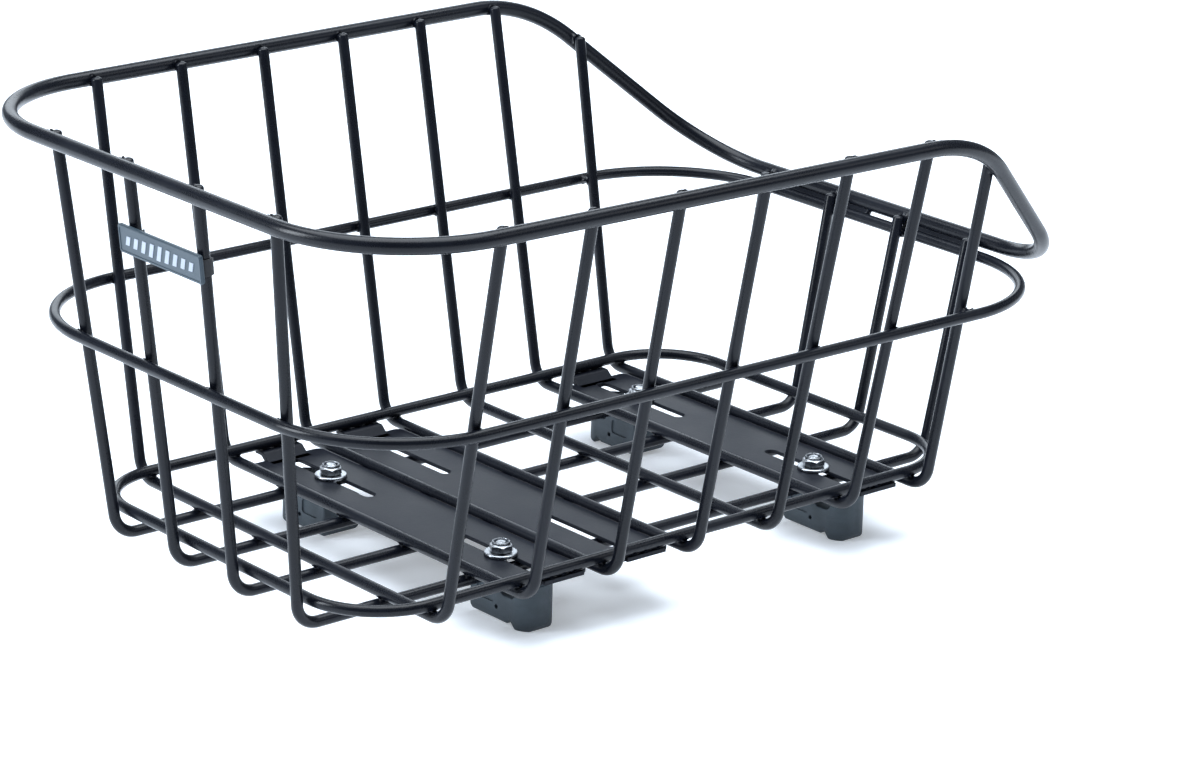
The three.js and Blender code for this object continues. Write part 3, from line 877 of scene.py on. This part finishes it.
for place in PLACES:
    clamp, nut, carriage = f"clamp_{place}", f"nut_body_{place}", f"carriage_{place}"
    finish_piece(f"clamp_hook_{place}", placed(carve(hook_body(), hook_cutters()), place), NYLON, clamp,
                 [f"hook_{place}"], smooth_angle=38, flat_area=7)
    shank = bolt_shank()
    absorb(shank, bolt_head())
    finish_piece(f"clamp_bolt_{place}", placed(at_bolt(shank), place), ZINC, clamp, [f"bolt_{place}"],
                 smooth_angle=50)
    finish_piece(f"clamp_washer_{place}", placed(at_bolt(washer_body()), place), ZINC, carriage,
                 [f"washer_{place}"], smooth_angle=50)
    finish_piece(f"clamp_nut_{place}", placed(at_bolt(nut_body()), place), ZINC, nut,
                 [f"nut_{place}"], smooth_angle=24)
    finish_piece(f"clamp_nut_ring_{place}", placed(at_bolt(nut_insert()), place), INSERT, nut)

# ---------------------------------------------------------------- badge, clips and seams

lean = math.atan2(-RIM_REAR[0] - WIRE_OFFSET - LONG_REAR_FOOT, RIM_Z - BASE_Z)
standoff = WIRE_R + CLIP["back"] + 2 * GAP + BADGE["thickness"] / 2
badge_x = -LONG_REAR_FOOT - math.tan(lean) * (BADGE["z"] - BASE_Z) - standoff
BADGE_PLACE = Matrix.Translation((badge_x, 0, BADGE["z"])) @ Matrix.Rotation(-lean, 4, "Y")
FACE_OUT = Matrix(((0, 0, -1, 0), (-1, 0, 0, 0), (0, 1, 0, 0), (0, 0, 0, 1)))


def badge_plate():
    """Thin moulded plate with rounded edges and a raised border."""
    width, height, corner = BADGE["width"], BADGE["height"], BADGE["corner"]
    plate = cut_sheet([rounded_box(width, height, corner)], BADGE["thickness"] - 0.3, 0.4)
    bmesh.ops.translate(plate, vec=(0, 0, -0.15), verts=plate.verts)
    rail = cut_sheet([rounded_box(width - 0.9, height - 0.9, corner - 0.4),
                      rounded_box(width - 2.7, height - 2.7, corner - 0.9)], 0.6, 0.14)
    return absorb(plate, rail, Matrix.Translation((0, 0, BADGE["thickness"] / 2 - 0.3)))


def badge_marks():
    """A row of slanted bars that grow towards the middle, in place of lettering."""
    marks = bmesh.new()
    for n in range(-4, 5):
        height = 7.4 - 0.75 * abs(n)
        lean_x = 0.32 * height
        bar = [(-1.5 - lean_x / 2, -height / 2), (1.5 - lean_x / 2, -height / 2),
               (1.5 + lean_x / 2, height / 2), (-1.5 + lean_x / 2, height / 2)]
        placing = Matrix.Translation((6.1 * n, 0, BADGE["thickness"] / 2 - 0.25))
        absorb(marks, cut_sheet([bar], 0.5, 0.12), placing)
    return marks


def on_badge(build):
    bmesh.ops.transform(build, matrix=BADGE_PLACE @ FACE_OUT, verts=build.verts)
    return build


finish_piece("badge_plate", on_badge(badge_plate()), BADGE_FACE, replaces=["badge"],
             flat_area=4)
finish_piece("badge_bars", on_badge(badge_marks()), BADGE_MARK, flat_area=1)


def clip_body(index):
    """C clip round one upright, open towards the inside, with a flat pad against the badge."""
    foot, top = rear_line(index)
    axis = (top - foot).normalized()
    seat = on_line(foot, top, BADGE["z"])
    inner = WIRE_R + GAP
    outer = inner + CLIP["wall"] - 0.1
    mouth = 43.0
    outline = arc(0, 0, outer, mouth, 360 - mouth, 40) + arc(0, 0, inner, 360 - mouth, mouth, 40)
    clip = cut_sheet([outline], BADGE["height"] - 6, 0.2)
    turn = Vector((0, 0, 1)).rotation_difference(axis).to_matrix().to_4x4()
    bmesh.ops.transform(clip, matrix=Matrix.Translation(seat) @ turn, verts=clip.verts)
    limit = badge_x + BADGE["thickness"] / 2 + GAP + 0.05
    normal = Vector((-math.cos(lean), 0, -math.sin(lean)))
    plane = Vector((limit, seat.y, BADGE["z"]))
    for vertex in clip.verts:
        beyond = (vertex.co - plane).dot(normal)
        if beyond > 0:
            vertex.co -= normal * beyond
    return clip


for index in (1, 2):
    finish_piece(f"clip_{index}", clip_body(index), BLACK_PLASTIC,
                 replaces=[f"badge_clip_{index}"], flat_area=3)

seam_rise = FRONT_RIM_Z - MIDDLE_Z
seam_run = RIM_FRONT[0] - MIDDLE["front"]
seam_length = math.hypot(seam_run, seam_rise)
seam_share = (WIRE_R + (seam_length - WIRE_R - RIM_R) / 2) / seam_length
for index, (start, end) in enumerate(SEAM_SPANS):
    strip = cut_sheet([rounded_box(SEAM["depth"], end - start, 1.5)], SEAM["thickness"] + SEAM_FILL, 0.5)
    place = Vector((MIDDLE["front"] + seam_share * seam_run, (start + end) / 2,
                    MIDDLE_Z + seam_share * seam_rise))
    turn = Matrix.Rotation(math.atan2(seam_run, seam_rise), 4, "Y")
    bmesh.ops.transform(strip, matrix=Matrix.Translation(place) @ turn, verts=strip.verts)
    finish_piece(f"seam_{index + 1}", strip, PAINT,
                 replaces=[f"front_seam_{index + 1}"], flat_area=4)

# ---------------------------------------------------------------- stage, light and camera


def add_stage():
    build = bmesh.new()
    for x, y in ((-4000, -4000), (4000, -4000), (4000, 4000), (-4000, 4000)):
        build.verts.new((x * MM, y * MM, 0))
    build.faces.new(build.verts)
    mesh = bpy.data.meshes.new("floor")
    build.to_mesh(mesh)
    build.free()
    floor = bpy.data.objects.new("floor", mesh)
    bpy.context.scene.collection.objects.link(floor)
    material, tree, shader, place = new_material("floor_pale")
    cloudy = noise(tree, place, 300.0, 2.0)
    tree.links.new(ramp(tree, cloudy, (0.3, (0.80, 0.84, 0.90)), (0.7, (0.83, 0.87, 0.92))),
                   shader.inputs["Base Color"])
    shader.inputs["Roughness"].default_value = 0.9
    shader.inputs["Specular IOR Level"].default_value = 0.1
    shader.inputs["Emission Color"].default_value = (0.93, 0.965, 1.0, 1)
    shader.inputs["Emission Strength"].default_value = 0.3
    mesh.materials.append(material)


def area_light(name, place, target, width, height, power, colour=(1, 1, 1)):
    light = bpy.data.lights.new(name, "AREA")
    light.shape = "RECTANGLE"
    light.size = width
    light.size_y = height
    light.energy = power
    light.color = colour
    lamp = bpy.data.objects.new(name, light)
    bpy.context.scene.collection.objects.link(lamp)
    lamp.location = place
    lamp.rotation_euler = (Vector(target) - Vector(place)).to_track_quat("-Z", "Y").to_euler()


def add_camera():
    """The viewing angle: azimuth -41 degrees, 19 degrees above the horizon, a long lens."""
    place = Vector((-1.2362, -1.4734, 0.7272))
    forward = Vector((0.61995717, 0.71615136, -0.32059373)).normalized()
    up = Vector((0.189026, 0.26023777, 0.94686085))
    right = forward.cross(up).normalized()
    up = right.cross(forward)
    data = bpy.data.cameras.new("camera")
    data.sensor_width = 36
    data.lens = 125.37
    data.shift_x = 0.00178
    data.shift_y = 0.00307
    data.clip_end = 50
    camera = bpy.data.objects.new("camera", data)
    camera.matrix_world = Matrix.Translation(place) @ Matrix((right, up, -forward)).transposed().to_4x4()
    bpy.context.scene.collection.objects.link(camera)
    bpy.context.scene.camera = camera


def add_lights():
    world = bpy.data.worlds.new("studio")
    world.use_nodes = True
    tree = world.node_tree
    background = tree.nodes["Background"]
    background.inputs["Color"].default_value = (0.78, 0.88, 1.0, 1)
    seen = tree.nodes.new("ShaderNodeLightPath").outputs["Is Camera Ray"]
    strength = combine(tree, "ADD", combine(tree, "MULTIPLY", seen, 0.5), 0.27)
    tree.links.new(strength, background.inputs["Strength"])
    bpy.context.scene.world = world
    area_light("overhead", (0.1, 0.2, 2.5), (0, 0.05, 0), 3.2, 2.6, 165, (0.88, 0.94, 1.0))
    area_light("back", (1.5, 2.4, 1.1), (0, 0, 0.1), 2.4, 0.9, 22, (0.84, 0.92, 1.0))
    area_light("left", (-2.0, 0.9, 1.0), (0, 0, 0.1), 0.7, 1.2, 48, (0.86, 0.93, 1.0))
    area_light("right", (1.5, -1.7, 1.4), (0, 0, 0.1), 0.8, 0.8, 4, (0.94, 0.97, 1.0))


add_stage()
add_camera()
add_lights()
bpy.context.scene.view_settings.view_transform = "Standard"
